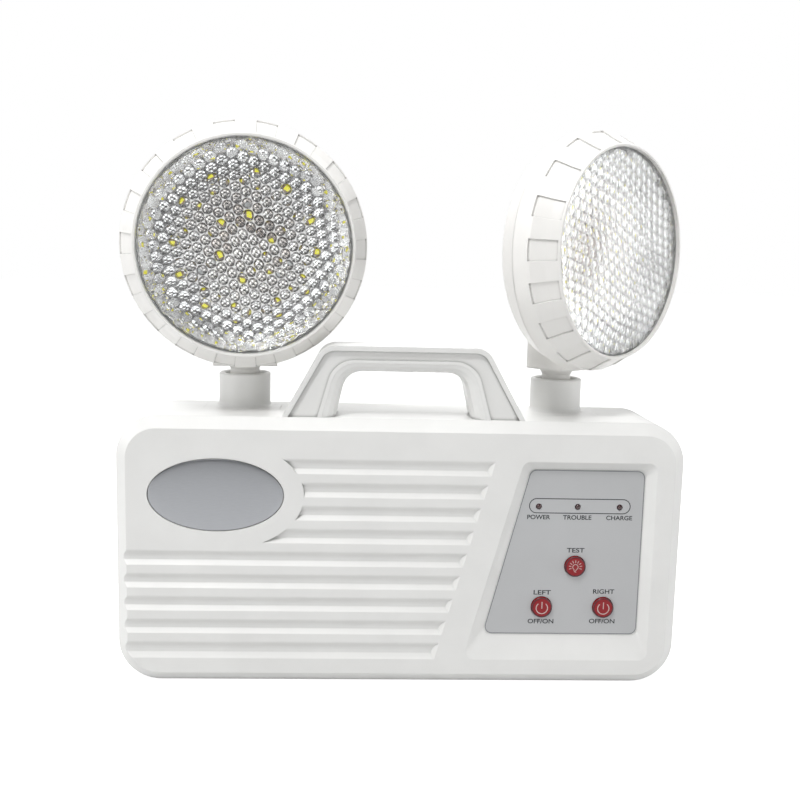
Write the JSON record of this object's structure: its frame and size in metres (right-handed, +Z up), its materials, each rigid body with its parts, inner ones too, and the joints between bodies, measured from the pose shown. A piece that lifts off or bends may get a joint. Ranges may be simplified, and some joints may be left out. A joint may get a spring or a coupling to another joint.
{
  "type": "twin head emergency light",
  "caption": "Portable emergency light: a louvred housing with carrying handle and round lamp heads that turn and tilt on ball necks.",
  "frame": {"origin": "middle of the flat base that the housing stands on", "axes": "+Z up, -Y out of the face with the louvres and the control panel, +X to the right seen from the front"},
  "size_m": [0.3277, 0.1089, 0.3174],
  "materials": {
    "housing": "fine satin moulded white",
    "badge": "satin silver plate",
    "label": "printed light grey film",
    "indicator": "tinted clear",
    "board": "green circuit board",
    "switch": "black",
    "button": "gloss dark red",
    "components": "plain",
    "terminal": "green",
    "iron": "laminated steel",
    "winding": "yellow tape",
    "battery": "dark grey case",
    "foam": "black foam",
    "strap": "zinc plated strip",
    "inlet": "black",
    "screw": "zinc plated",
    "bush": "natural acetal",
    "head": "fine satin moulded white",
    "lens": "clear, pillow pattern inside",
    "seal": "black",
    "reflector": "bright metallised",
    "lamp_board": "white coated",
    "chips": "yellow phosphor"
  },
  "bodies": {
    "housing": {"front_shell": "housing", "rear_shell": "housing", "badge_plate": "badge", "control_label": "label", "indicator_leds": "indicator", "control_board": "board", "button_switches": "switch", "charger_board": "board", "board_components": "components", "terminal_block": "terminal", "transformer_core": "iron", "transformer_winding": "winding", "transformer_bracket": "strap", "battery": "battery", "battery_pad": "foam", "battery_strap": "strap", "mains_inlet": "inlet", "fuse_holder": "inlet", "case_screws": "screw", "board_screws": "screw", "strap_screws": "screw"},
    "test_button": {"test_button": "button"},
    "left_button": {"left_button": "button"},
    "right_button": {"right_button": "button"},
    "left_swivel": {"left_swivel_bush": "bush"},
    "left_head": {"left_neck": "head", "left_neck_nut": "screw", "left_back_shell": "head", "left_bezel": "head", "left_lens": "lens", "left_lens_seal": "seal", "left_reflector": "reflector", "left_led_board": "lamp_board", "left_led_chips": "chips", "left_head_screws": "screw"},
    "right_swivel": {"right_swivel_bush": "bush"},
    "right_head": {"right_neck": "head", "right_neck_nut": "screw", "right_back_shell": "head", "right_bezel": "head", "right_lens": "lens", "right_lens_seal": "seal", "right_reflector": "reflector", "right_led_board": "lamp_board", "right_led_chips": "chips", "right_head_screws": "screw"}
  },
  "joints": [
    {"name": "left_head_turn", "type": "hinge", "parent": "housing", "child": "left_swivel", "pos_m": [-0.0939, 0.0173, 0.1582], "axis": [0, 0, 1], "range_deg": [-127, 2]},
    {"name": "left_head_tilt", "type": "hinge", "parent": "left_swivel", "child": "left_head", "pos_m": [-0.0939, 0.0173, 0.1582], "axis": [-0.9932, -0.1167, 0], "range_deg": [-1, 14]},
    {"name": "right_head_turn", "type": "hinge", "parent": "housing", "child": "right_swivel", "pos_m": [0.0939, 0.0173, 0.1582], "axis": [0, 0, 1], "range_deg": [-42, 78]},
    {"name": "right_head_tilt", "type": "hinge", "parent": "right_swivel", "child": "right_head", "pos_m": [0.0939, 0.0173, 0.1582], "axis": [0.749, 0.6626, 0], "range_deg": [-12, 8]},
    {"name": "test_press", "type": "slide", "parent": "housing", "child": "test_button", "axis": [0, 1, 0], "range_m": [0, 0.0009], "stiffness_N_per_m": 900, "springref_m": -0.0005},
    {"name": "left_press", "type": "slide", "parent": "housing", "child": "left_button", "axis": [0, 1, 0], "range_m": [0, 0.0009], "stiffness_N_per_m": 900, "springref_m": -0.0005},
    {"name": "right_press", "type": "slide", "parent": "housing", "child": "right_button", "axis": [0, 1, 0], "range_m": [0, 0.0009], "stiffness_N_per_m": 900, "springref_m": -0.0005}
  ]
}
